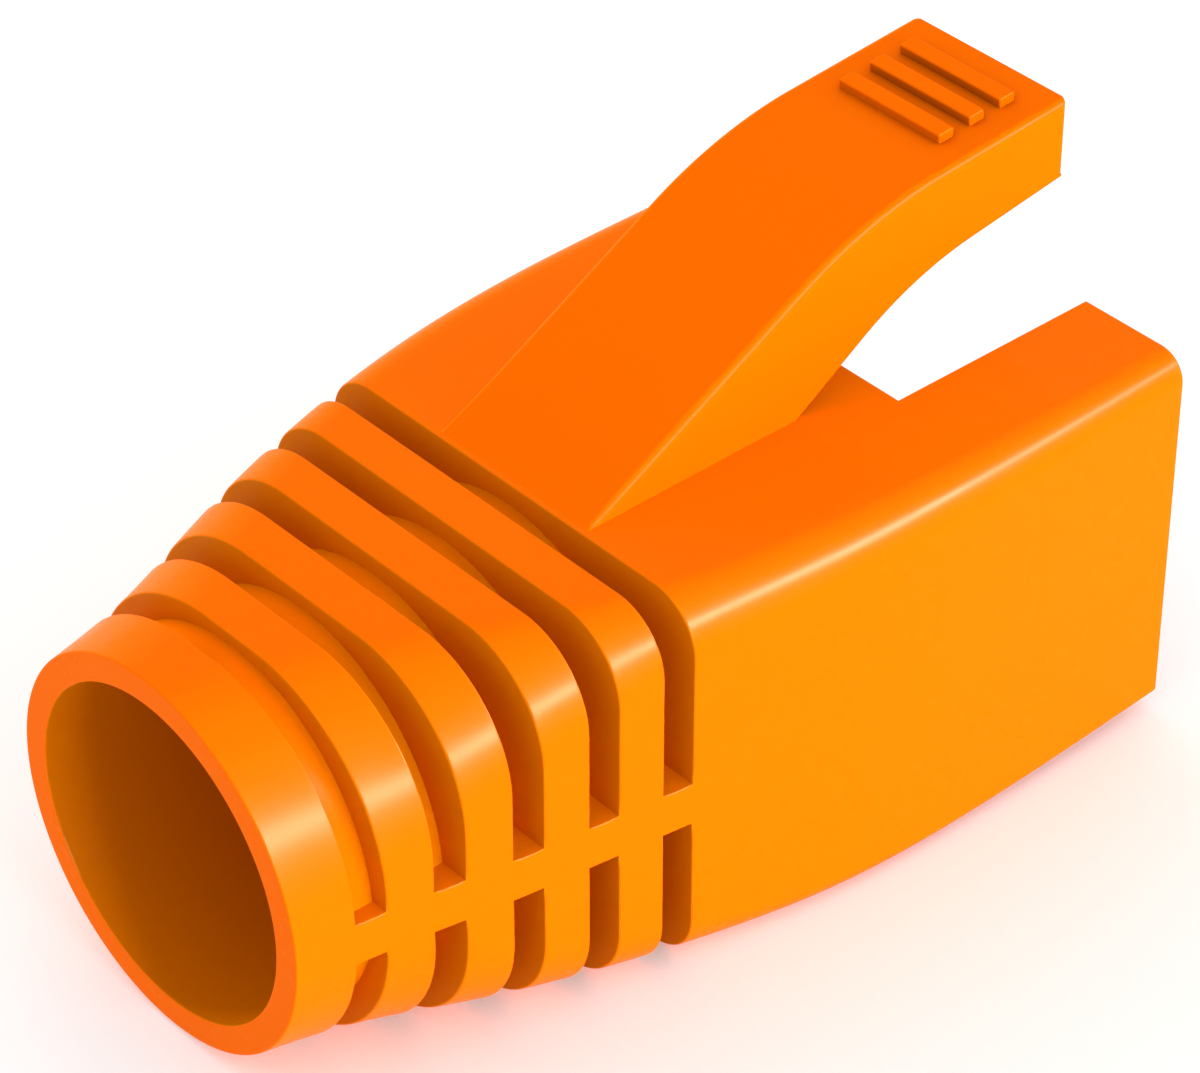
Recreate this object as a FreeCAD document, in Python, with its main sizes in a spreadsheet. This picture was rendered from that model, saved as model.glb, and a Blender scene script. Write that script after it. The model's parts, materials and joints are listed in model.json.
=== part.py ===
import FreeCAD, Part
import math
import os
import Sketcher

Vector = FreeCAD.Vector

# A strain relief boot for a modular plug, moulded in one piece.
# X is its width, Y runs from the cable end (-Y) to the plug end (+Y), Z is up.
# It is drawn from the middle of the cable end, with the bore along Y, and set on the ground last.
# Stations are distances from the cable end, and heights count from the bore's axis.
document = FreeCAD.newDocument("strain_relief_boot")
sheet = document.addObject("Spreadsheet::Sheet", "Sizes")

sizes = {
    # Cable bore and the round cable end
    "bore_diameter": 8.5,
    "front_wall": 0.75,
    # Slots that make the neck flexible
    "first_slot": 1.55,
    "slot_pitch": 2.0,
    "slot_width": 0.8,
    "core_wall": 0.5,
    "bridge_height": 1.15,
    "bridge_drop": 0.19,
    # Neck: how far it stands out past the round cable end, sideways, up and down
    "collar_station": 2.35,
    "collar_flare": 0.25,
    "collar_rise": 0.05,
    "collar_fall": 0.03,
    "collar_corner": 4.37,
    "neck_station": 5.0,
    "neck_flare": 0.7,
    "neck_rise": 0.17,
    "neck_fall": 0.08,
    "neck_corner": 3.25,
    "shoulder_flare": 1.43,
    "shoulder_rise": 0.33,
    "shoulder_fall": 0.12,
    "shoulder_corner": 1.4,
    # Socket for the back of the plug
    "socket_width": 11.8,
    "socket_ceiling": 4.3,
    "socket_floor": 3.7,
    "socket_depth": 13.0,
    "socket_corner": 0.6,
    # Box around the socket: its walls on the flank, where it is widest and at its mouth
    "box_length": 15.25,
    "flank_setback": 11.2,
    "flank_side_wall": 1.05,
    "flank_top_wall": 1.1,
    "flank_floor_wall": 1.31,
    "flank_top_corner": 1.12,
    "flank_floor_corner": 0.6,
    "belly_setback": 6.1,
    "belly_side_wall": 1.18,
    "belly_top_wall": 1.13,
    "belly_floor_wall": 1.2,
    "belly_top_corner": 0.97,
    "belly_floor_corner": 0.32,
    "mouth_side_wall": 0.98,
    "mouth_top_wall": 1.15,
    "mouth_floor_wall": 0.96,
    "mouth_top_corner": 0.75,
    "mouth_floor_corner": 0.15,
    # Gap for the plug's latch in the top wall
    "notch_width": 7.2,
    "notch_length": 6.3,
    # Latch guard: climbs from the top wall and levels off over the gap
    "guard_width": 5.16,
    "guard_setback": 0.15,
    "guard_sink": 0.4,
    "guard_thickness": 2.1,
    "ramp_angle": 29.0,
    "bend_setback": 6.53,
    "bend_radius": 11.0,
    "tip_angle": 5.0,
    "under_ramp_angle": 33.0,
    "under_setback": 4.96,
    "under_radius": 8.7,
    "under_angle": 8.7,
    "guard_corner": 0.22,
    # Grip ribs across the guard's end
    "rib_length": 3.4,
    "rib_width": 0.5,
    "rib_height": 0.25,
    "rib_pitch": 1.0,
    "rib_setback": 0.95,
}
for row, (alias, value) in enumerate(sizes.items(), start=1):
    sheet.set("A%d" % row, alias.replace("_", " "))
    sheet.set("B%d" % row, str(value))
    sheet.setAlias("B%d" % row, alias)
document.recompute()

slotCount = 5
ribCount = 3
straightLeft = 0.02  # half of each straight that a nearly round section keeps between its corners
rightAngle = math.pi / 2

# Stations and radii that several features share
frontRadius = "(Sizes.bore_diameter / 2 + Sizes.front_wall)"
coreRadius = "(Sizes.bore_diameter / 2 + Sizes.core_wall)"
shoulder = f"(Sizes.first_slot + Sizes.slot_pitch * {slotCount - 1} + Sizes.slot_width)"
mouth = f"({shoulder} + Sizes.box_length)"
shoulderTop = f"({frontRadius} + Sizes.shoulder_rise)"
mouthTop = "(Sizes.socket_ceiling + Sizes.mouth_top_wall)"

body = document.addObject("PartDesign::Body", "Boot")
body.Label = "boot"


def evaluate(expression):
    """The value of an expression on the sheet's names, for a sketch's first layout."""
    return sheet.evalExpression(expression.replace("Sizes.", ""))


def originFeature(role):
    for feature in body.Origin.OriginFeatures:
        if feature.Role == role:
            return feature
    raise RuntimeError("no origin feature " + role)


def newSketch(name, plane, offsets):
    """A sketch on one of the body's planes, moved by expressions for its attachment's offset."""
    sketch = body.newObject("Sketcher::SketchObject", name)
    sketch.AttachmentSupport = [(originFeature(plane), "")]
    sketch.MapMode = "FlatFace"
    for place, expression in offsets.items():
        sketch.setExpression(".AttachmentOffset." + place, expression)
    return sketch


def crossSection(name, station):
    """A sketch square to the bore, with its origin on the bore's axis."""
    return newSketch(name, "XZ_Plane", {"Base.z": f"-({station})"})


def bind(sketch, kind, places, expression):
    """A measured constraint, tied to the sheet."""
    value = evaluate(expression)
    if kind == "Angle":
        value = math.radians(value)
        expression = f"({expression}) * 1 deg"
    index = sketch.addConstraint(Sketcher.Constraint(kind, *places, value))
    sketch.setExpression(f"Constraints[{index}]", expression)


def joinEnds(sketch, pairs):
    for first, firstEnd, second, secondEnd in pairs:
        sketch.addConstraint(Sketcher.Constraint("Coincident", first, firstEnd, second, secondEnd))


def direct(sketch, kind, lines):
    for line in lines:
        sketch.addConstraint(Sketcher.Constraint(kind, line))


def roundedBox(sketch, halfWidth, top, floor, topCorner, floorCorner):
    """A rounded rectangle about the bore's axis: four straights joined by four tangent corners."""
    across = evaluate(halfWidth)
    high = evaluate(top)
    low = -evaluate(floor)
    topRadius = evaluate(topCorner)
    floorRadius = evaluate(floorCorner)
    straights = [
        (Vector(-across + topRadius, high, 0), Vector(across - topRadius, high, 0)),
        (Vector(across, high - topRadius, 0), Vector(across, low + floorRadius, 0)),
        (Vector(across - floorRadius, low, 0), Vector(-across + floorRadius, low, 0)),
        (Vector(-across, low + floorRadius, 0), Vector(-across, high - topRadius, 0)),
    ]
    lines = [sketch.addGeometry(Part.LineSegment(start, end)) for start, end in straights]
    corners = [
        (Vector(across - topRadius, high - topRadius, 0), topRadius, 0),
        (Vector(across - floorRadius, low + floorRadius, 0), floorRadius, 3),
        (Vector(-across + floorRadius, low + floorRadius, 0), floorRadius, 2),
        (Vector(-across + topRadius, high - topRadius, 0), topRadius, 1),
    ]
    arcs = []
    for centre, radius, turn in corners:
        circle = Part.Circle(centre, Vector(0, 0, 1), radius)
        arc = Part.ArcOfCircle(circle, turn * rightAngle, (turn + 1) * rightAngle)
        arcs.append(sketch.addGeometry(arc))
    for index in range(4):
        following = lines[(index + 1) % 4]
        sketch.addConstraint(Sketcher.Constraint("Tangent", lines[index], 2, arcs[index], 2))
        sketch.addConstraint(Sketcher.Constraint("Tangent", arcs[index], 1, following, 1))
    direct(sketch, "Horizontal", lines[0::2])
    direct(sketch, "Vertical", lines[1::2])
    bind(sketch, "DistanceX", (-1, 1, lines[1], 1), halfWidth)
    bind(sketch, "DistanceX", (lines[3], 1, -1, 1), halfWidth)
    bind(sketch, "DistanceY", (-1, 1, lines[0], 1), top)
    bind(sketch, "DistanceY", (lines[2], 1, -1, 1), floor)
    bind(sketch, "Radius", (arcs[0],), topCorner)
    bind(sketch, "Radius", (arcs[1],), floorCorner)
    sketch.addConstraint(Sketcher.Constraint("Equal", arcs[0], arcs[3]))
    sketch.addConstraint(Sketcher.Constraint("Equal", arcs[1], arcs[2]))


def plainBox(sketch, left, right, low, high):
    """A rectangle whose four sides are at the given distances from the sketch's origin."""
    corners = [
        Vector(-evaluate(left), evaluate(low), 0),
        Vector(evaluate(right), evaluate(low), 0),
        Vector(evaluate(right), evaluate(high), 0),
        Vector(-evaluate(left), evaluate(high), 0),
    ]
    ends = corners[1:] + corners[:1]
    lines = [sketch.addGeometry(Part.LineSegment(start, end)) for start, end in zip(corners, ends)]
    joinEnds(sketch, [(lines[i], 2, lines[(i + 1) % 4], 1) for i in range(4)])
    direct(sketch, "Horizontal", lines[0::2])
    direct(sketch, "Vertical", lines[1::2])
    bind(sketch, "DistanceX", (lines[3], 1, -1, 1), left)
    bind(sketch, "DistanceX", (-1, 1, lines[1], 1), right)
    bind(sketch, "DistanceY", (-1, 1, lines[0], 1), low)
    bind(sketch, "DistanceY", (-1, 1, lines[2], 1), high)


def pocket(name, profile, length, towardsCableEnd=False):
    """A cut as deep as an expression says, along the bore from the sketch."""
    feature = body.newObject("PartDesign::Pocket", name)
    feature.Profile = profile
    feature.Type = "Length"
    feature.Reversed = towardsCableEnd
    feature.setExpression("Length", length)
    document.recompute()
    if not feature.Shape.Volume < feature.BaseFeature.Shape.Volume:
        raise RuntimeError(name + " cut nothing")
    return feature


# Outer shape: round at the cable end, a box with rounded corners at the plug end
roundCorner = f"({frontRadius} - {straightLeft})"
outerSections = [("FrontSection", "0", frontRadius, frontRadius, frontRadius, roundCorner, roundCorner)]
neckStations = (
    ("collar", "Sizes.collar_station"),
    ("neck", "Sizes.neck_station"),
    ("shoulder", shoulder),
)
for stage, station in neckStations:
    outerSections.append((
        stage.capitalize() + "Section",
        station,
        f"{frontRadius} + Sizes.{stage}_flare",
        f"{frontRadius} + Sizes.{stage}_rise",
        f"{frontRadius} + Sizes.{stage}_fall",
        f"Sizes.{stage}_corner",
        f"Sizes.{stage}_corner",
    ))
boxStations = (
    ("flank", f"{mouth} - Sizes.flank_setback"),
    ("belly", f"{mouth} - Sizes.belly_setback"),
    ("mouth", mouth),
)
for stage, station in boxStations:
    outerSections.append((
        stage.capitalize() + "Section",
        station,
        f"Sizes.socket_width / 2 + Sizes.{stage}_side_wall",
        f"Sizes.socket_ceiling + Sizes.{stage}_top_wall",
        f"Sizes.socket_floor + Sizes.{stage}_floor_wall",
        f"Sizes.{stage}_top_corner",
        f"Sizes.{stage}_floor_corner",
    ))
sectionSketches = []
for name, station, *outline in outerSections:
    section = crossSection(name, station)
    roundedBox(section, *outline)
    sectionSketches.append(section)
document.recompute()
outside = body.newObject("PartDesign::AdditiveLoft", "OuterShape")
outside.Profile = sectionSketches[0]
outside.Sections = sectionSketches[1:]
document.recompute()


def slotOutline(sketch, side, ledge):
    """One slot in cross-section: outside the core tube and past a level ledge, up (1) or down (-1)."""
    core = evaluate(coreRadius)
    reach = evaluate(slotReach)
    level = evaluate(ledge)
    touch = math.sqrt(core ** 2 - level ** 2)
    points = [
        Vector(touch, side * level, 0),
        Vector(reach, side * level, 0),
        Vector(reach, side * reach, 0),
        Vector(-reach, side * reach, 0),
        Vector(-reach, side * level, 0),
        Vector(-touch, side * level, 0),
    ]
    lines = [sketch.addGeometry(Part.LineSegment(start, end)) for start, end in zip(points, points[1:])]
    arc = sketch.addGeometry(Part.Arc(points[0], Vector(0, side * core, 0), points[5]))
    joinEnds(sketch, [(lines[i], 2, lines[i + 1], 1) for i in range(4)])
    # The arc always runs counter-clockwise, so below the axis its ends swap
    arcStart, arcEnd = (1, 2) if side > 0 else (2, 1)
    joinEnds(sketch, [(arc, arcStart, lines[0], 1), (arc, arcEnd, lines[4], 2), (arc, 3, -1, 1)])
    direct(sketch, "Horizontal", lines[0::2])
    direct(sketch, "Vertical", lines[1::2])
    bind(sketch, "Radius", (arc,), coreRadius)
    bind(sketch, "DistanceX", (-1, 1, lines[1], 1), slotReach)
    bind(sketch, "DistanceX", (lines[3], 1, -1, 1), slotReach)
    for line, height in ((lines[0], ledge), (lines[4], ledge), (lines[2], slotReach)):
        places = (-1, 1, line, 1) if side > 0 else (line, 1, -1, 1)
        bind(sketch, "DistanceY", places, height)


# Slots: an upper and a lower one at each place, with a round tube inside and a web on both sides
slotReach = f"({frontRadius} + 2 * Sizes.shoulder_flare)"
slots = []
for name, side, ledge in (
    ("UpperSlot", 1, "Sizes.bridge_height / 2 - Sizes.bridge_drop"),
    ("LowerSlot", -1, "Sizes.bridge_height / 2 + Sizes.bridge_drop"),
):
    slotSection = crossSection(name + "Section", "Sizes.first_slot")
    slotOutline(slotSection, side, ledge)
    slots.append(pocket(name, slotSection, "Sizes.slot_width"))
slotRow = body.newObject("PartDesign::LinearPattern", "SlotRow")
slotRow.Originals = slots
slotRow.Direction = (originFeature("Y_Axis"), [""])
slotRow.Occurrences = slotCount
slotRow.setExpression("Length", f"Sizes.slot_pitch * {slotCount - 1}")
body.Tip = slotRow
document.recompute()

# Gap for the latch, through the top wall and halfway down the socket
notchSection = crossSection("NotchSection", mouth)
halfGap = "Sizes.notch_width / 2"
notchFloor = "(Sizes.socket_ceiling - Sizes.socket_floor) / 2"
plainBox(notchSection, halfGap, halfGap, notchFloor, f"{mouthTop} * 2")
pocket("LatchNotch", notchSection, "Sizes.notch_length", towardsCableEnd=True)


def bentEdge(sketch, corner, slope, radius, tipSlope, start, end):
    """A climbing straight and a flatter one, which would meet at a corner and are joined by a tangent bend."""
    climb = math.radians(evaluate(slope))
    ease = math.radians(evaluate(tipSlope))
    bend = evaluate(radius)
    upwards = Vector(math.cos(climb), math.sin(climb), 0)
    onwards = Vector(math.cos(ease), math.sin(ease), 0)
    setback = bend * math.tan((climb - ease) / 2)
    bendStart = corner - upwards * setback
    bendEnd = corner + onwards * setback
    centre = bendStart + Vector(upwards.y, -upwards.x, 0) * bend
    circle = Part.Circle(centre, Vector(0, 0, 1), bend)
    first = sketch.addGeometry(Part.LineSegment(start, bendStart))
    arc = sketch.addGeometry(Part.ArcOfCircle(circle, ease + rightAngle, climb + rightAngle))
    last = sketch.addGeometry(Part.LineSegment(bendEnd, end))
    meeting = sketch.addGeometry(Part.Point(corner), True)
    sketch.addConstraint(Sketcher.Constraint("Tangent", first, 2, arc, 2))
    sketch.addConstraint(Sketcher.Constraint("Tangent", arc, 1, last, 1))
    sketch.addConstraint(Sketcher.Constraint("PointOnObject", meeting, 1, first))
    sketch.addConstraint(Sketcher.Constraint("PointOnObject", meeting, 1, last))
    bind(sketch, "Radius", (arc,), radius)
    bind(sketch, "Angle", (first,), slope)
    bind(sketch, "Angle", (last,), tipSlope)
    return first, last, meeting


def slopeOf(angle):
    return f"tan({angle} * 1 deg)"


# Latch guard, drawn from the side; its foot runs into the top wall
guardProfile = newSketch("GuardProfile", "YZ_Plane", {})
guardRoot = f"({shoulder} + Sizes.guard_setback)"
bendPlace = f"({mouth} - Sizes.bend_setback)"
bendHeight = f"({shoulderTop} + ({bendPlace} - {guardRoot}) * {slopeOf('Sizes.ramp_angle')})"
guardTop = f"({bendHeight} + Sizes.bend_setback * {slopeOf('Sizes.tip_angle')})"
underPlace = f"({mouth} - Sizes.under_setback)"
underHeight = f"({guardTop} - Sizes.guard_thickness - Sizes.under_setback * {slopeOf('Sizes.under_angle')})"
guardHeel = f"({underPlace} - ({underHeight} - {shoulderTop}) / {slopeOf('Sizes.under_ramp_angle')})"
footLevel = f"({shoulderTop} - Sizes.guard_sink)"
root = Vector(evaluate(guardRoot), evaluate(shoulderTop), 0)
heel = Vector(evaluate(guardHeel), evaluate(shoulderTop), 0)
tip = Vector(evaluate(mouth), evaluate(guardTop), 0)
tipUnder = tip - Vector(0, evaluate("Sizes.guard_thickness"), 0)
sunkRoot = Vector(root.x, evaluate(footLevel), 0)
sunkHeel = Vector(heel.x, evaluate(footLevel), 0)
ramp, tipLine, bendCorner = bentEdge(
    guardProfile, Vector(evaluate(bendPlace), evaluate(bendHeight), 0),
    "Sizes.ramp_angle", "Sizes.bend_radius", "Sizes.tip_angle", root, tip)
underRamp, underTip, underCorner = bentEdge(
    guardProfile, Vector(evaluate(underPlace), evaluate(underHeight), 0),
    "Sizes.under_ramp_angle", "Sizes.under_radius", "Sizes.under_angle", heel, tipUnder)
endLine = guardProfile.addGeometry(Part.LineSegment(tip, tipUnder))
heelLine = guardProfile.addGeometry(Part.LineSegment(heel, sunkHeel))
footLine = guardProfile.addGeometry(Part.LineSegment(sunkHeel, sunkRoot))
rootLine = guardProfile.addGeometry(Part.LineSegment(sunkRoot, root))
joinEnds(guardProfile, [
    (tipLine, 2, endLine, 1),
    (endLine, 2, underTip, 2),
    (underRamp, 1, heelLine, 1),
    (heelLine, 2, footLine, 1),
    (footLine, 2, rootLine, 1),
    (rootLine, 2, ramp, 1),
])
direct(guardProfile, "Vertical", (endLine, heelLine, rootLine))
direct(guardProfile, "Horizontal", (footLine,))
bind(guardProfile, "DistanceX", (-1, 1, ramp, 1), guardRoot)
bind(guardProfile, "DistanceY", (-1, 1, ramp, 1), shoulderTop)
bind(guardProfile, "DistanceY", (-1, 1, underRamp, 1), shoulderTop)
bind(guardProfile, "DistanceY", (-1, 1, footLine, 1), footLevel)
bind(guardProfile, "DistanceX", (-1, 1, tipLine, 2), mouth)
bind(guardProfile, "DistanceX", (-1, 1, bendCorner, 1), bendPlace)
bind(guardProfile, "DistanceX", (-1, 1, underCorner, 1), underPlace)
bind(guardProfile, "DistanceY", (underTip, 2, tipLine, 2), "Sizes.guard_thickness")
guard = body.newObject("PartDesign::Pad", "LatchGuard")
guard.Profile = guardProfile
guard.Midplane = True
guard.setExpression("Length", "Sizes.guard_width")
document.recompute()


def uprightEdges(shape, across, station):
    """Names of the upright edges at a station, on both sides of the middle."""
    names = []
    for number, edge in enumerate(shape.Edges, start=1):
        points = [vertex.Point for vertex in edge.Vertexes]
        aligned = all(math.isclose(abs(point.x), across, abs_tol=1e-4) for point in points)
        if aligned and all(math.isclose(point.y, station, abs_tol=1e-4) for point in points):
            names.append(f"Edge{number}")
    return names


endRounding = body.newObject("PartDesign::Fillet", "GuardEndRounding")
endRounding.Base = (guard, uprightEdges(guard.Shape, evaluate("Sizes.guard_width / 2"), evaluate(mouth)))
endRounding.setExpression("Radius", "Sizes.guard_corner")
document.recompute()

# Grip ribs, square to the guard's sloping end and half sunk into it
ribProfile = newSketch("RibProfile", "YZ_Plane", {
    "Base.x": mouth,
    "Base.y": guardTop,
    "Rotation.Angle": "Sizes.tip_angle",
})
ribFar = "Sizes.rib_setback + Sizes.rib_width"
plainBox(ribProfile, ribFar, "-Sizes.rib_setback", "-Sizes.rib_height", "Sizes.rib_height")
rib = body.newObject("PartDesign::Pad", "GripRib")
rib.Profile = ribProfile
rib.Midplane = True
rib.setExpression("Length", "Sizes.rib_length")
document.recompute()
ribRow = body.newObject("PartDesign::LinearPattern", "RibRow")
ribRow.Originals = [rib]
ribRow.Direction = (ribProfile, ["H_Axis"])
ribRow.Reversed = True
ribRow.Occurrences = ribCount
ribRow.setExpression("Length", f"Sizes.rib_pitch * {ribCount - 1}")
body.Tip = ribRow
document.recompute()

# Socket for the plug, open at the plug end, and the bore that leads to it from the cable end
socketSection = crossSection("SocketSection", mouth)
roundedBox(socketSection, "Sizes.socket_width / 2", "Sizes.socket_ceiling", "Sizes.socket_floor",
           "Sizes.socket_corner", "Sizes.socket_corner")
pocket("PlugSocket", socketSection, "Sizes.socket_depth", towardsCableEnd=True)
boreSection = newSketch("BoreSection", "XZ_Plane", {})
boreEdge = Part.Circle(Vector(0, 0, 0), Vector(0, 0, 1), evaluate("Sizes.bore_diameter / 2"))
boreCircle = boreSection.addGeometry(boreEdge)
joinEnds(boreSection, [(boreCircle, 3, -1, 1)])
bind(boreSection, "Diameter", (boreCircle,), "Sizes.bore_diameter")
pocket("CableBore", boreSection, f"{mouth} - Sizes.socket_depth")

# The boot stands on the ground, with the origin under its middle
lowest = body.Shape.optimalBoundingBox(False).ZMin
body.Placement = FreeCAD.Placement(Vector(0, -evaluate(mouth) / 2, -lowest), FreeCAD.Rotation())
document.recompute()

for item in document.Objects:
    if "Invalid" in item.State or "Error" in item.State:
        raise RuntimeError(f"{item.Name} failed: {item.State}")
boot = body.Shape
if boot.isNull() or not boot.isValid() or len(boot.Solids) != 1:
    raise RuntimeError("the boot isn't one valid solid")
os.makedirs("parts", exist_ok=True)
boot.exportStep(f"parts/{body.Label}.step")
print(f"boot: {boot.Volume:.1f} mm3, bore axis {-lowest:.4f} mm above the ground")
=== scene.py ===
import json
import math
from bisect import bisect

import bmesh
import bpy
from mathutils import Matrix, Vector


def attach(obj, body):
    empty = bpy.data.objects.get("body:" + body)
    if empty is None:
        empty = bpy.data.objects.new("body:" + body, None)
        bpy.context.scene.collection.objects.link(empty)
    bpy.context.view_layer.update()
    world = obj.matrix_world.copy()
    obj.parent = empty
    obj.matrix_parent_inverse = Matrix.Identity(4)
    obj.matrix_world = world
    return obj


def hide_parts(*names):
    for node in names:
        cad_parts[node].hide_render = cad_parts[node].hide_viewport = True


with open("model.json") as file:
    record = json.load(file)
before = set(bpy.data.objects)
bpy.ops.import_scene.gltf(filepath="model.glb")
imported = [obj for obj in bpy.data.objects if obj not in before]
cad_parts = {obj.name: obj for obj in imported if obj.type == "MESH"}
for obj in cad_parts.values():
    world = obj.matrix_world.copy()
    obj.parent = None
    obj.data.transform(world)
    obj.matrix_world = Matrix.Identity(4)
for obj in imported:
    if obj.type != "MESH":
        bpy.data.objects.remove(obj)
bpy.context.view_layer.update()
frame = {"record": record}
boreMount = [m for m in frame["record"]["mounts"] if m["name"] == "cable_bore"][0]
cableEnd = boreMount["pos_m"][1]
axisHeight = boreMount["pos_m"][2]
mm = 0.001
print("frame loaded, bore axis", round(axisHeight / mm, 3), "mm up")


# Millimetres across, along from the cable end and up from the bore's axis, to the frame's metres
def place(x, station, height):
    return Vector((x * mm, cableEnd + station * mm, axisHeight + height * mm))


# sRGB hex, such as "#FF6C00", to the linear colour that a shader takes
def linear(code):
    parts = [int(code[i:i + 2], 16) / 255 for i in (1, 3, 5)]
    return tuple(c / 12.92 if c <= 0.04045 else ((c + 0.055) / 1.055) ** 2.4 for c in parts) + (1.0,)


# Adds a node. Settings in lower case are the node's own, the others are its input sockets
def addNode(tree, kind, settings=None, links=None):
    node = tree.nodes.new(kind)
    for name, value in (settings or {}).items():
        if isinstance(name, str) and name[0].islower():
            setattr(node, name, value)
        else:
            node.inputs[name].default_value = value
    for name, source in (links or {}).items():
        tree.links.new(source, node.inputs[name])
    return node


# Flexible PVC, injection moulded and bright orange: satin, with a warm highlight along its round edges.
# The mould's fine spark-eroded skin breaks up the gloss, and the pigment drifts slightly with the flow.
pvcLook = {
    "orange": "#F66A00",
    "flowStreak": "#F46800",
    # painted shade: the colour mixed in where the surface is closed in
    "shaded": "#E27F00",
    "shadeReach": 9.0,        # mm
    "shadeFrom": 0.2,         # openness at which it is all shaded
    "shadeTo": 1.0,           # and at which none
    "streakLength": 7.0,      # mm
    "streakPull": 0.35,       # less than 1 draws them out along the bore
    "sheenPatch": 1.6,        # mm
    "skinGrain": 0.11,        # mm
    "skinDepth": 0.0012,      # mm
    "roughLow": 0.24,         # in the shinier patches
    "roughHigh": 0.3,         # and in the duller ones
    "ior": 1.53,
    "specular": 0.01,         # far below PVC's usual 0.5, as the picture shows nothing pale reflected
    "glossTint": "#FFEFCC",
}

# Painted shade: the slot walls and the bore are a darker orange all over, standing in for the shade
# inside them
slotShadeLook = dict(pvcLook, orange="#D07000", flowStreak="#CE6E00", shadeReach=0)
# The core between the rings gets painted shade over a narrower span of openness, and little gloss
coreLook = dict(pvcLook, specular=0.002, shaded="#C86B00", shadeFrom=0.4, shadeTo=0.85)
boreShadeLook = dict(pvcLook, orange="#CC6C00", flowStreak="#CA6A00", shadeReach=0)

# The guard's highlights are weaker. Its side beside the box gets a redder painted shade, and its ribs
# are a piece of their own, so painted shade from ambient occlusion also darkens the ribs' fronts and the
# guard's top around them
guardLook = dict(pvcLook, specular=0.0035, shaded="#D25400")
ribLook = dict(guardLook, shaded="#9A4C00", shadeReach=2.0, shadeFrom=0.3, shadeTo=0.95)


def makePvc(name, look, alone=True):
    material = bpy.data.materials.new(name)
    material.use_nodes = True
    tree = material.node_tree
    tree.nodes.clear()
    where = addNode(tree, "ShaderNodeTexCoord").outputs["Object"]

    # Flow streaks run along the bore, so the pattern is stretched that way
    stretched = addNode(tree, "ShaderNodeMapping", {"Scale": (1.0, look["streakPull"], 1.0)},
                        {"Vector": where})
    streaks = addNode(tree, "ShaderNodeTexNoise",
                      {"Scale": 1 / (look["streakLength"] * mm), "Detail": 3.0, "Roughness": 0.55},
                      {"Vector": stretched.outputs["Vector"]})
    pigment = addNode(tree, "ShaderNodeMix",
                      {"data_type": "RGBA", 6: linear(look["orange"]), 7: linear(look["flowStreak"])},
                      {0: streaks.outputs["Fac"]})

    # Painted shade: where an ambient occlusion node finds the surface closed in, such as the box's top
    # under the guard, the colour is mixed towards the darker shaded one
    colour = pigment.outputs[2]
    if look["shadeReach"]:
        openness = addNode(tree, "ShaderNodeAmbientOcclusion",
                           {"samples": 8, "only_local": alone, "Distance": look["shadeReach"] * mm})
        lit = addNode(tree, "ShaderNodeMapRange",
                      {"From Min": look["shadeFrom"], "From Max": look["shadeTo"]},
                      {"Value": openness.outputs["AO"]})
        colour = addNode(tree, "ShaderNodeMix", {"data_type": "RGBA", 6: linear(look["shaded"])},
                         {0: lit.outputs["Result"], 7: colour}).outputs[2]

    patches = addNode(tree, "ShaderNodeTexNoise",
                      {"Scale": 1 / (look["sheenPatch"] * mm), "Detail": 4.0, "Roughness": 0.6},
                      {"Vector": where})
    gloss = addNode(tree, "ShaderNodeMapRange",
                    {"From Min": 0.3, "From Max": 0.7,
                     "To Min": look["roughLow"], "To Max": look["roughHigh"]},
                    {"Value": patches.outputs["Fac"]})

    grain = addNode(tree, "ShaderNodeTexNoise",
                    {"Scale": 1 / (look["skinGrain"] * mm), "Detail": 2.0, "Roughness": 0.5},
                    {"Vector": where})
    skin = addNode(tree, "ShaderNodeBump", {"Strength": 1.0, "Distance": look["skinDepth"] * mm},
                   {"Height": grain.outputs["Fac"]})

    shader = addNode(tree, "ShaderNodeBsdfPrincipled", {
        "IOR": look["ior"],
        "Specular IOR Level": look["specular"],
        "Specular Tint": linear(look["glossTint"]),
    }, {
        "Base Color": colour,
        "Roughness": gloss.outputs["Result"],
        "Normal": skin.outputs["Normal"],
    })
    addNode(tree, "ShaderNodeOutputMaterial", {}, {"Surface": shader.outputs["BSDF"]})
    return material


# Painted shade: the slot and bore finishes are darker all over, and the others darken where ambient
# occlusion finds them closed in
mouldedPvc = makePvc("mouldedPvc", pvcLook)
slotShadedPvc = makePvc("slotShadedPvc", slotShadeLook)
corePvc = makePvc("corePvc", coreLook)
boreShadedPvc = makePvc("boreShadedPvc", boreShadeLook)
guardPvc = makePvc("guardPvc", guardLook)
ribbedPvc = makePvc("ribbedPvc", ribLook, alone=False)
print("materials made")


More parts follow.
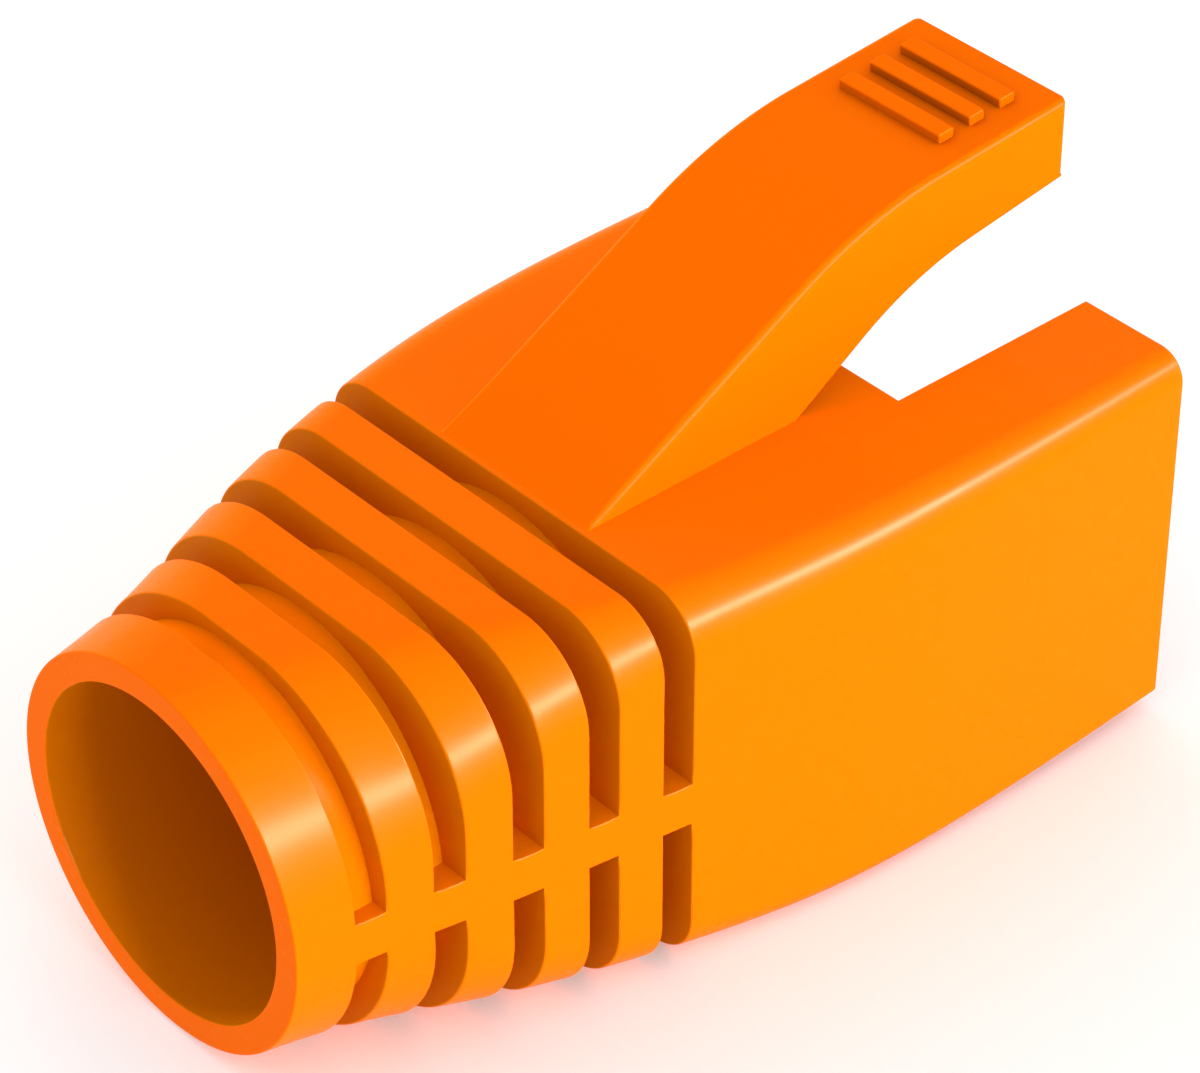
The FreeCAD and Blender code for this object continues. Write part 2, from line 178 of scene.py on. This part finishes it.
# The moulding, in mm. A section is its half width, top, bottom, top corner and bottom corner
boot = {
    "sections": {
        0.0: (5.0, 5.0, 5.0, 5.0, 5.0),
        2.35: (5.25, 5.05, 5.03, 4.37, 4.37),
        5.0: (5.7, 5.17, 5.08, 3.25, 3.25),
        10.35: (6.43, 5.33, 5.12, 1.4, 1.4),
        14.4: (6.95, 5.4, 5.01, 1.12, 0.6),
        19.5: (7.08, 5.43, 4.9, 0.97, 0.32),
        25.6: (6.88, 5.45, 4.66, 0.75, 0.15),
    },
    "bore": 4.25,
    "core": 4.75,
    "slots": 5,
    "firstSlot": 1.55,
    "slotPitch": 2.0,
    "slotWidth": 0.8,
    "webTop": 0.385,
    "webBottom": -0.765,
    "socketDepth": 13.0,
    "socket": (5.9, 4.3, 3.7, 0.6, 0.6),
    "notchHalf": 3.6,
    "notchLength": 6.3,
    "guardHalf": 2.62,
    "guardRoot": 10.5,
    "guardEnd": 25.6,
    "guardThickness": 2.1,
    "guardRound": 0.25,       # along the guard's top edges and up its end
    "upper": {"slope": 29.0, "ease": 5.0, "radius": 11.0, "setback": 6.53},
    "under": {"slope": 33.0, "ease": 8.7, "radius": 8.7, "setback": 4.96},
    "ribbedLength": 4.2,      # of the guard's end
    "edgeRound": 0.05,        # of the other outward edges
    "roundSteps": 4,
    "sharpFrom": 24,          # degrees between faces
    "rowStep": 0.24,
    "boreStep": 0.6,
    "socketStep": 0.4,
}

# Cells of half a section, from the top middle round to the bottom middle
cells = {"guard": 16, "notch": 6, "corner": 34, "web": 7, "foot": 36, "crossing": 12}
cornerShare = 0.45  # how many of a stretch's cells crowd into its corners
edgeCell = 0.3      # mm, the guard's last cell, wide enough for its round edge


# A smooth curve through the values at the stops (a natural cubic spline)
def smoothCurve(stops, values):
    last = len(stops) - 1
    bend = [0.0] * (last + 1)
    passOn = [0.0] * (last + 1)
    pull = [0.0] * (last + 1)
    for i in range(1, last):
        before = stops[i] - stops[i - 1]
        after = stops[i + 1] - stops[i]
        kink = (values[i + 1] - values[i]) / after - (values[i] - values[i - 1]) / before
        pivot = 2 * (before + after) - before * passOn[i - 1]
        passOn[i] = after / pivot
        pull[i] = (6 * kink - before * pull[i - 1]) / pivot
    for i in reversed(range(1, last)):
        bend[i] = pull[i] - passOn[i] * bend[i + 1]

    def at(s):
        i = min(max(bisect(stops, s) - 1, 0), last - 1)
        span = stops[i + 1] - stops[i]
        far = (s - stops[i]) / span
        near = 1 - far
        bow = (near ** 3 - near) * bend[i] + (far ** 3 - far) * bend[i + 1]
        return near * values[i] + far * values[i + 1] + bow * span ** 2 / 6
    return at


stops = sorted(boot["sections"])
outerCurves = [smoothCurve(stops, [boot["sections"][s][k] for s in stops]) for k in range(5)]


def outerSection(station):
    return tuple(curve(station) for curve in outerCurves)


def roundSection(radius):
    return (radius,) * 5


# Where the straights and corners of half a section end, measured along it from the top middle
def sectionStops(section):
    w, t, b, rt, rb = section
    ends = [0.0]
    for length in (w - rt, rt * math.pi / 2, t - rt + b - rb, rb * math.pi / 2, w - rb):
        ends.append(ends[-1] + length)
    return ends


def pointAlong(section, l):
    w, t, b, rt, rb = section
    ends = sectionStops(section)
    if l <= ends[1]:
        return l, t
    if l <= ends[2]:
        turn = (l - ends[1]) / rt
        return w - rt + rt * math.sin(turn), t - rt + rt * math.cos(turn)
    if l <= ends[3]:
        return w, t - rt - (l - ends[2])
    if l <= ends[4]:
        turn = (l - ends[3]) / rb
        return w - rb + rb * math.cos(turn), rb - b - rb * math.sin(turn)
    return w - rb - (l - ends[4]), -b


def alongTopAt(section, x):
    w, _, _, rt, _ = section
    if x <= w - rt:
        return x
    return w - rt + rt * math.asin((x - w + rt) / rt)


def alongSideAt(section, height):
    _, t, b, rt, rb = section
    ends = sectionStops(section)
    if height > t - rt:
        return ends[1] + rt * math.acos((height - t + rt) / rt)
    if height < rb - b:
        return ends[3] + rb * math.asin((rb - b - height) / rb)
    return ends[2] + t - rt - height


def alongBottomAt(section, x):
    w, _, _, _, rb = section
    ends = sectionStops(section)
    if x > w - rb:
        return ends[3] + rb * math.acos((x - w + rb) / rb)
    return ends[4] + w - rb - x


# Places from start to end, closer together where the section turns
def spread(section, start, end, count):
    ends = sectionStops(section)

    def turned(l):
        top = min(max((l - ends[1]) / (ends[2] - ends[1]), 0), 1)
        bottom = min(max((l - ends[3]) / (ends[4] - ends[3]), 0), 1)
        return top + bottom

    marks = [start] + [l for l in ends if start < l < end] + [end]
    turning = turned(end) - turned(start)
    weights = []
    for l in marks:
        weights.append((1 - cornerShare) * (l - start) / (end - start)
                       + cornerShare * (turned(l) - turned(start)) / turning)
    places = []
    for n in range(1, count + 1):
        target = n / count
        i = min(max(bisect(weights, target) - 1, 0), len(marks) - 2)
        share = (target - weights[i]) / (weights[i + 1] - weights[i])
        places.append(marks[i] + share * (marks[i + 1] - marks[i]))
    return places


# Where the bore's circle crosses the socket's floor
crossing = math.sqrt(boot["bore"] ** 2 - boot["socket"][2] ** 2)


# Place across the guard of a column, from 0 in the middle to one side
def guardColumn(n):
    if n == cells["guard"]:
        return boot["guardHalf"]
    return (boot["guardHalf"] - edgeCell) * n / (cells["guard"] - 1)


def halfColumns(section):
    along = [0.0]
    for n in range(1, cells["guard"] + 1):
        along.append(alongTopAt(section, guardColumn(n)))
    for n in range(1, cells["notch"] + 1):
        reach = boot["notchHalf"] - boot["guardHalf"]
        along.append(alongTopAt(section, boot["guardHalf"] + reach * n / cells["notch"]))
    webStart = alongSideAt(section, boot["webTop"])
    along += spread(section, along[-1], webStart, cells["corner"])
    for n in range(1, cells["web"] + 1):
        drop = boot["webBottom"] - boot["webTop"]
        along.append(alongSideAt(section, boot["webTop"] + drop * n / cells["web"]))
    along += spread(section, along[-1], alongBottomAt(section, crossing), cells["foot"])
    for n in range(1, cells["crossing"] + 1):
        along.append(alongBottomAt(section, crossing * (1 - n / cells["crossing"])))
    return along


half = sum(cells.values())
guardEdge = cells["guard"]
notchEdge = guardEdge + cells["notch"]
webUpper = notchEdge + cells["corner"]
webLower = webUpper + cells["web"]


# The closed outline: down the right side, then up the left as its mirror image
def sectionLoop(section):
    right = [pointAlong(section, l) for l in halfColumns(section)]
    left = [(-x, height) for x, height in reversed(right[1:-1])]
    return right + left


# A cell's or a column's number on the right half that it mirrors
def rightCell(column):
    return column if column < half else 2 * half - 1 - column


# The moulding's material slots. The slot walls' and the bore's are darker all over as painted shade, and
# the others mix in painted shade where they are closed in
outerFinish, slotShadeFinish, coreFinish, boreShadeFinish, guardFinish, ribbedFinish = range(6)


def evenRun(start, end, step):
    count = max(1, math.ceil((end - start) / step - 1e-6))
    return [start + (end - start) * n / count for n in range(count + 1)]


# A skin of sections that makes each vertex when it is first asked for
def makeSkin(mesh, stations, sectionAt):
    loops = [sectionLoop(sectionAt(s)) for s in stations]
    made = {}

    def vertex(row, column):
        key = (row, column % (2 * half))
        if key not in made:
            x, height = loops[row][key[1]]
            made[key] = mesh.verts.new(place(x, stations[row], height))
        return made[key]
    return vertex


def addFace(mesh, *corners, finish=outerFinish):
    kept = [v for n, v in enumerate(corners) if v is not corners[n - 1]]
    mesh.faces.new(kept).material_index = finish


# Height of a climbing line that bends and levels off, with its corner at a station and height
def bentHeight(line, corner, height, station):
    climb = math.radians(line["slope"])
    ease = math.radians(line["ease"])
    setback = line["radius"] * math.tan((climb - ease) / 2)
    bendStart = corner - setback * math.cos(climb)
    bendEnd = corner + setback * math.cos(ease)
    if station <= bendStart:
        return height + (station - corner) * math.tan(climb)
    if station >= bendEnd:
        return height + (station - corner) * math.tan(ease)
    middle = bendStart + line["radius"] * math.sin(climb)
    lowPoint = height - setback * math.sin(climb) - line["radius"] * math.cos(climb)
    return lowPoint + math.sqrt(line["radius"] ** 2 - (station - middle) ** 2)


# How far a slope climbs over a length
def rise(length, degrees):
    return length * math.tan(math.radians(degrees))


# The guard's top climbs from the box at its root, and its end sets where the underside is
topLine, underLine = boot["upper"], boot["under"]
guardCorner = boot["guardEnd"] - topLine["setback"]
rootHeight = boot["sections"][10.35][1]
guardCornerHeight = rootHeight + rise(guardCorner - boot["guardRoot"], topLine["slope"])
tipHeight = guardCornerHeight + rise(topLine["setback"], topLine["ease"])
underCorner = boot["guardEnd"] - underLine["setback"]
underCornerHeight = tipHeight - boot["guardThickness"] - rise(underLine["setback"], underLine["ease"])


def guardTop(station):
    return bentHeight(topLine, guardCorner, guardCornerHeight, station)


def guardUnder(station):
    return bentHeight(underLine, underCorner, underCornerHeight, station)


# The station where the guard's underside reaches the top wall
def findHeel():
    low, high = boot["guardRoot"], underCorner
    for _ in range(40):
        middle = (low + high) / 2
        if guardUnder(middle) < outerSection(middle)[1]:
            low = middle
        else:
            high = middle
    return high


def buildBoot():
    mesh = bmesh.new()
    mouth = stops[-1]
    notchWall = mouth - boot["notchLength"]
    socketWall = mouth - boot["socketDepth"]
    heel = findHeel()
    loop = range(2 * half)
    inGuard = [rightCell(c) < guardEdge for c in loop]
    inNotch = [rightCell(c) < notchEdge for c in loop]
    inWeb = [webUpper <= rightCell(c) < webLower for c in loop]

    # Outer skin, with a row at each edge of every slot, of the guard's foot and of the notch
    slotEdges = []
    for n in range(boot["slots"]):
        start = boot["firstSlot"] + n * boot["slotPitch"]
        slotEdges.append((start, start + boot["slotWidth"]))
    marks = [0.0] + [edge for pair in slotEdges for edge in pair]
    marks += [boot["guardRoot"], heel, notchWall, mouth]
    stations = [0.0]
    rowOf = {0.0: 0}
    for start, end in zip(marks, marks[1:]):
        stations += evenRun(start, end, boot["rowStep"])[1:]
        rowOf[end] = len(stations) - 1
    outer = makeSkin(mesh, stations, outerSection)
    inSlot = set()
    for start, end in slotEdges:
        inSlot.update(range(rowOf[start], rowOf[end]))
    for row in range(len(stations) - 1):
        underGuard = rowOf[boot["guardRoot"]] <= row < rowOf[heel]
        pastNotch = row >= rowOf[notchWall]
        for c in loop:
            if row in inSlot and not inWeb[c]:
                continue
            if underGuard and inGuard[c] or pastNotch and inNotch[c]:
                continue
            addFace(mesh, outer(row, c), outer(row, c + 1), outer(row + 1, c + 1), outer(row + 1, c))

    # Slots: two walls down to the round core, its floor, and a level ledge at each end of the webs
    ledges = (webUpper, webLower, 2 * half - webUpper, 2 * half - webLower)
    for start, end in slotEdges:
        first, last = rowOf[start], rowOf[end]
        core = makeSkin(mesh, stations[first:last + 1], lambda s: roundSection(boot["core"]))
        for c in loop:
            if inWeb[c]:
                continue
            # The walls take the slot finish, darker all over as painted shade
            for row, deep in ((first, 0), (last, last - first)):
                addFace(mesh, outer(row, c), outer(row, c + 1), core(deep, c + 1), core(deep, c),
                        finish=slotShadeFinish)
            for deep in range(last - first):
                addFace(mesh, core(deep, c), core(deep, c + 1), core(deep + 1, c + 1), core(deep + 1, c),
                        finish=coreFinish)
        for c in ledges:
            for deep in range(last - first):
                row = first + deep
                addFace(mesh, outer(row, c), outer(row + 1, c), core(deep + 1, c), core(deep, c))

    # Bore and socket, from the cable end to the mouth
    boreStations = evenRun(0.0, socketWall, boot["boreStep"])
    bore = makeSkin(mesh, boreStations, lambda s: roundSection(boot["bore"]))
    socketStations = evenRun(socketWall, notchWall, boot["socketStep"])
    socketStations += stations[rowOf[notchWall] + 1:]
    socket = makeSkin(mesh, socketStations, lambda s: boot["socket"])
    notchRow = socketStations.index(notchWall)
    for c in loop:
        addFace(mesh, outer(0, c), outer(0, c + 1), bore(0, c + 1), bore(0, c))
        # The bore takes its finish, darker all over as painted shade
        for row in range(len(boreStations) - 1):
            addFace(mesh, bore(row, c), bore(row, c + 1), bore(row + 1, c + 1), bore(row + 1, c),
                    finish=boreShadeFinish)
        lastBore = len(boreStations) - 1
        addFace(mesh, bore(lastBore, c), bore(lastBore, c + 1), socket(0, c + 1), socket(0, c))
        for row in range(len(socketStations) - 1):
            if row >= notchRow and inNotch[c]:
                continue
            addFace(mesh, socket(row, c), socket(row, c + 1), socket(row + 1, c + 1), socket(row + 1, c))
        end, deep = len(stations) - 1, len(socketStations) - 1
        if inNotch[c]:
            end, deep = rowOf[notchWall], notchRow
        addFace(mesh, outer(end, c), outer(end, c + 1), socket(deep, c + 1), socket(deep, c))
    for c in (notchEdge, 2 * half - notchEdge):
        for step in range(len(stations) - 1 - rowOf[notchWall]):
            row = rowOf[notchWall] + step
            deep = notchRow + step
            addFace(mesh, outer(row, c), outer(row + 1, c), socket(deep + 1, c), socket(deep, c))

    # Latch guard: its sides span from the foot and the underside up to the top, pair by pair
    underStations = evenRun(heel, boot["guardEnd"], boot["rowStep"])
    footRows = rowOf[heel] - rowOf[boot["guardRoot"]]
    lastUnder = len(underStations) - 1
    lastTop = footRows + lastUnder
    topStep = (boot["guardEnd"] - boot["guardRoot"]) / lastTop
    upperStations = evenRun(boot["guardRoot"], boot["guardEnd"], topStep)
    made = {}

    def guardVertex(side, row, column):
        if row == 0:
            start = boot["guardRoot"] if side == "top" else heel
            return outer(rowOf[start], column)
        key = (side, row, column)
        if key not in made:
            station = upperStations[row] if side == "top" else underStations[row]
            height = guardTop(station) if side == "top" else guardUnder(station)
            x = math.copysign(guardColumn(abs(column)), column)
            made[key] = mesh.verts.new(place(x, station, height))
        return made[key]

    for side, last in (("top", lastTop), ("under", lastUnder)):
        for row in range(last):
            # The guard's top near its end takes the ribs' finish, whose painted shade darkens it around
            # the ribs
            ribbed = side == "top" and upperStations[row] > boot["guardEnd"] - boot["ribbedLength"]
            for c in range(-guardEdge, guardEdge):
                addFace(mesh, guardVertex(side, row, c), guardVertex(side, row, c + 1),
                        guardVertex(side, row + 1, c + 1), guardVertex(side, row + 1, c),
                        finish=ribbedFinish if ribbed else guardFinish)
    for c in range(-guardEdge, guardEdge):
        addFace(mesh, guardVertex("top", lastTop, c), guardVertex("top", lastTop, c + 1),
                guardVertex("under", lastUnder, c + 1), guardVertex("under", lastUnder, c),
                finish=guardFinish)
    roundEnds = {}  # vertices on the guard's edges with the larger round: height above the box
    for c in (-guardEdge, guardEdge):
        lower = [outer(rowOf[boot["guardRoot"]] + n, c) for n in range(footRows)]
        lower += [guardVertex("under", n, c) for n in range(lastUnder + 1)]
        upper = [guardVertex("top", n, c) for n in range(lastTop + 1)]
        for n in range(len(lower) - 1):
            addFace(mesh, lower[n], lower[n + 1], upper[n + 1], upper[n], finish=guardFinish)
        for v, station in zip(upper, upperStations):
            roundEnds[v] = guardTop(station) - outerSection(station)[1]
        roundEnds[guardVertex("under", lastUnder, c)] = boot["guardThickness"]

    # Outward edges get a round, by their weight, and inward ones stay sharp. So does the step at the
    # bore's far end, which runs out to nothing. The guard's round shrinks with its height at its foot
    bmesh.ops.recalc_face_normals(mesh, faces=mesh.faces)
    weight = mesh.edges.layers.float.new("bevel_weight_edge")
    stepAt = place(0, socketWall, 0).y
    hair = 0.001 * mm
    for edge in mesh.edges:
        if edge.calc_face_angle() < math.radians(boot["sharpFrom"]):
            continue
        atStep = all(abs(v.co.y - stepAt) < hair for v in edge.verts)
        if atStep or not edge.is_convex:
            edge.smooth = False
        elif all(v in roundEnds for v in edge.verts):
            room = sum(max(roundEnds[v], 0) for v in edge.verts) / 4
            edge[weight] = min(1, room / boot["guardRound"])
        else:
            edge[weight] = boot["edgeRound"] / boot["guardRound"]

    unpaired = sum(1 for e in mesh.edges if len(e.link_faces) != 2)
    volume = round(mesh.calc_volume() / mm ** 3, 1)
    print("boot:", len(mesh.faces), "faces,", unpaired, "open edges,", volume, "mm3")
    for face in mesh.faces:
        face.smooth = True
    data = bpy.data.meshes.new("moulding")
    mesh.to_mesh(data)
    mesh.free()
    return data


moulding = bpy.data.objects.new("moulding", buildBoot())
bpy.context.scene.collection.objects.link(moulding)
for finish in (mouldedPvc, slotShadedPvc, corePvc, boreShadedPvc, guardPvc, ribbedPvc):
    moulding.data.materials.append(finish)
rounded = moulding.modifiers.new("roundedEdges", "BEVEL")
rounded.width = boot["guardRound"] * mm
rounded.segments = boot["roundSteps"]
rounded.limit_method = "WEIGHT"
rounded.harden_normals = True
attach(moulding, "root")
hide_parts("boot")
print("moulding placed")


# Grip ribs across the guard's end, square to its slope and half sunk into it, in mm
gripRibs = {
    "Count": 3,
    "Length": 3.4,
    "Width": 0.5,
    "Rise": 0.25,
    "Pitch": 1.0,
    "Setback": 0.9,
    "edgeRound": 0.05,
    "roundSteps": 3,
}


# A row of equal ribs that starts at the guard's end and goes down its slope towards the cable
def ribTree():
    tree = bpy.data.node_groups.new("gripRibRow", "GeometryNodeTree")
    tree.interface.new_socket("Geometry", in_out="INPUT", socket_type="NodeSocketGeometry")
    tree.interface.new_socket("Count", in_out="INPUT", socket_type="NodeSocketInt")
    for name in ("Length", "Width", "Rise", "Pitch", "Setback"):
        tree.interface.new_socket(name, in_out="INPUT", socket_type="NodeSocketFloat")
    tree.interface.new_socket("End", in_out="INPUT", socket_type="NodeSocketVector")
    tree.interface.new_socket("Slope", in_out="INPUT", socket_type="NodeSocketFloat")
    tree.interface.new_socket("Finish", in_out="INPUT", socket_type="NodeSocketMaterial")
    tree.interface.new_socket("Geometry", in_out="OUTPUT", socket_type="NodeSocketGeometry")
    given = addNode(tree, "NodeGroupInput").outputs

    # One rib lies level: its front is where the row starts, and as much is below its line as above
    depth = addNode(tree, "ShaderNodeMath", {"operation": "MULTIPLY", 1: 2.0}, {0: given["Rise"]})
    size = addNode(tree, "ShaderNodeCombineXYZ", {},
                   {"X": given["Length"], "Y": given["Width"], "Z": depth.outputs[0]})
    rib = addNode(tree, "GeometryNodeMeshCube", {}, {"Size": size.outputs[0]})
    middle = addNode(tree, "ShaderNodeMath", {"operation": "MULTIPLY_ADD", 1: -0.5}, {0: given["Width"]})
    back = addNode(tree, "ShaderNodeMath", {"operation": "MULTIPLY", 1: -1.0}, {0: given["Setback"]})
    tree.links.new(back.outputs[0], middle.inputs[2])
    start = addNode(tree, "ShaderNodeCombineXYZ", {}, {"Y": middle.outputs[0]})
    down = addNode(tree, "ShaderNodeMath", {"operation": "MULTIPLY", 1: -1.0}, {0: given["Pitch"]})
    step = addNode(tree, "ShaderNodeCombineXYZ", {}, {"Y": down.outputs[0]})
    row = addNode(tree, "GeometryNodeMeshLine", {}, {
        "Count": given["Count"],
        "Start Location": start.outputs[0],
        "Offset": step.outputs[0],
    })
    ribs = addNode(tree, "GeometryNodeInstanceOnPoints", {},
                   {"Points": row.outputs[0], "Instance": rib.outputs["Mesh"]})

    # The level row is turned to the slope and moved to the guard's end
    turn = addNode(tree, "ShaderNodeCombineXYZ", {}, {"X": given["Slope"]})
    laid = addNode(tree, "GeometryNodeTransform", {}, {
        "Geometry": ribs.outputs[0],
        "Translation": given["End"],
        "Rotation": turn.outputs[0],
    })
    solid = addNode(tree, "GeometryNodeRealizeInstances", {}, {"Geometry": laid.outputs[0]})
    coloured = addNode(tree, "GeometryNodeSetMaterial", {},
                       {"Geometry": solid.outputs[0], "Material": given["Finish"]})
    addNode(tree, "NodeGroupOutput", {}, {"Geometry": coloured.outputs[0]})
    return tree


# Runs a tree with its named inputs on an empty mesh and keeps the result as a plain mesh
def growMesh(name, tree, values):
    piece = bpy.data.objects.new(name, bpy.data.meshes.new(name + "Seed"))
    bpy.context.scene.collection.objects.link(piece)
    nodes = piece.modifiers.new(name, "NODES")
    nodes.node_group = tree
    for item in tree.interface.items_tree:
        if item.in_out == "INPUT" and item.name in values:
            nodes[item.identifier] = values[item.name]
    depsgraph = bpy.context.evaluated_depsgraph_get()
    grown = bpy.data.meshes.new_from_object(piece.evaluated_get(depsgraph), depsgraph=depsgraph)
    piece.modifiers.remove(nodes)
    piece.data = grown
    return piece


ribValues = {name: gripRibs[name] * mm for name in ("Length", "Width", "Rise", "Pitch", "Setback")}
ribValues["Count"] = gripRibs["Count"]
ribValues["End"] = place(0, boot["guardEnd"], guardTop(boot["guardEnd"]))
ribValues["Slope"] = math.radians(boot["upper"]["ease"])
ribValues["Finish"] = ribbedPvc
ribs = growMesh("gripRibs", ribTree(), ribValues)
for face in ribs.data.polygons:
    face.use_smooth = True
softened = ribs.modifiers.new("softEdges", "BEVEL")
softened.width = gripRibs["edgeRound"] * mm
softened.segments = gripRibs["roundSteps"]
softened.limit_method = "ANGLE"
softened.harden_normals = True
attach(ribs, "root")
print("grip ribs grown:", len(ribs.data.polygons), "faces")


# Camera where the picture was taken from, solved from the outlines
cameraFrom = {
    "at": (66.94, -45.46, 68.62),       # mm from the cable end's middle
    "right": (0.66284, 0.74875, 0.00314),
    "up": (-0.45292, 0.39761, 0.79798),
    "lens": 141.2,                      # mm
    "sensor": 36.0,
    "shift": (-0.0242, 0.0288),
    "nearest": 0.01,                    # metres, the closest that it sees
}


def addCamera(view):
    data = bpy.data.cameras.new("camera")
    data.sensor_width = view["sensor"]
    data.lens = view["lens"]
    data.shift_x, data.shift_y = view["shift"]
    data.clip_start = view["nearest"]
    camera = bpy.data.objects.new("camera", data)
    right = Vector(view["right"]).normalized()
    back = right.cross(Vector(view["up"])).normalized()
    up = back.cross(right)
    turn = Matrix((right, up, back)).transposed().to_4x4()
    camera.matrix_world = Matrix.Translation(place(*view["at"])) @ turn
    bpy.context.scene.collection.objects.link(camera)
    bpy.context.scene.camera = camera


addCamera(cameraFrom)

# Plain studio: white floor, even white surroundings, and a low strip softbox on each side.
# Positions are metres from the ground under the boot's middle.
studio = {
    "floorSize": 3.0,
    "floorColour": "#EEEEEE",
    "floorLift": 0.12,
    "surroundings": 1.02,
    "softboxes": {
        "rightStrip": {"at": (0.5, 0.05, 0.04), "along": (0, 1, 0), "size": (0.3, 0.06), "level": 1.3},
        "leftStrip": {"at": (-0.5, 0.05, 0.04), "along": (0, 1, 0), "size": (0.3, 0.06), "level": 1.22},
    },
    # Only shows as the highlight along the round corners
    "glint": {
        "at": (0.425, 0.0875, 0.239),
        "along": (-0.15, 0.425, 0.142),
        "size": (0.6, 0.06),
        "level": 50.0,
    },
}


def addFloor():
    mesh = bmesh.new()
    bmesh.ops.create_grid(mesh, x_segments=1, y_segments=1, size=studio["floorSize"] / 2)
    data = bpy.data.meshes.new("floor")
    mesh.to_mesh(data)
    mesh.free()
    floor = bpy.data.objects.new("floor", data)
    bpy.context.scene.collection.objects.link(floor)
    material = bpy.data.materials.new("paintedFloor")
    material.use_nodes = True
    tree = material.node_tree
    tree.nodes.clear()
    paint = addNode(tree, "ShaderNodeBsdfDiffuse", {"Color": linear(studio["floorColour"])})
    ray = addNode(tree, "ShaderNodeLightPath").outputs
    shiny = addNode(tree, "ShaderNodeMath", {"operation": "MAXIMUM"},
                    {0: ray["Is Glossy Ray"], 1: ray["Is Transmission Ray"]})
    seen = addNode(tree, "ShaderNodeMath", {"operation": "MAXIMUM"},
                   {0: ray["Is Camera Ray"], 1: shiny.outputs[0]})
    share = addNode(tree, "ShaderNodeMath", {"operation": "MULTIPLY", 1: studio["floorLift"]},
                    {0: seen.outputs[0]})
    lift = addNode(tree, "ShaderNodeEmission", {}, {"Strength": share.outputs[0]})
    both = addNode(tree, "ShaderNodeAddShader", {}, {0: paint.outputs[0], 1: lift.outputs[0]})
    addNode(tree, "ShaderNodeOutputMaterial", {}, {"Surface": both.outputs[0]})
    data.materials.append(material)


def addSoftbox(name, light):
    data = bpy.data.lights.new(name, "AREA")
    data.shape = "RECTANGLE"
    data.size, data.size_y = light["size"]
    at = Vector(light["at"])
    data.energy = light["level"] * math.pi ** 2 * at.length_squared  # lights a facing surface to level
    lamp = bpy.data.objects.new(name, data)
    back = at.normalized()
    up = back.cross(Vector(light["along"])).normalized()
    turn = Matrix((up.cross(back), up, back)).transposed().to_4x4()
    lamp.matrix_world = Matrix.Translation(at) @ turn
    bpy.context.scene.collection.objects.link(lamp)
    return lamp


addFloor()
for name, light in studio["softboxes"].items():
    addSoftbox(name, light).visible_glossy = False
addSoftbox("glint", studio["glint"]).visible_diffuse = False

world = bpy.data.worlds.new("studio")
world.use_nodes = True
worldTree = world.node_tree
worldTree.nodes.clear()
sky = addNode(worldTree, "ShaderNodeBackground",
              {"Color": (1, 1, 1, 1), "Strength": studio["surroundings"]})
addNode(worldTree, "ShaderNodeOutputWorld", {}, {"Surface": sky.outputs[0]})
bpy.context.scene.world = world
bpy.context.scene.view_settings.view_transform = "Standard"
print("studio set")
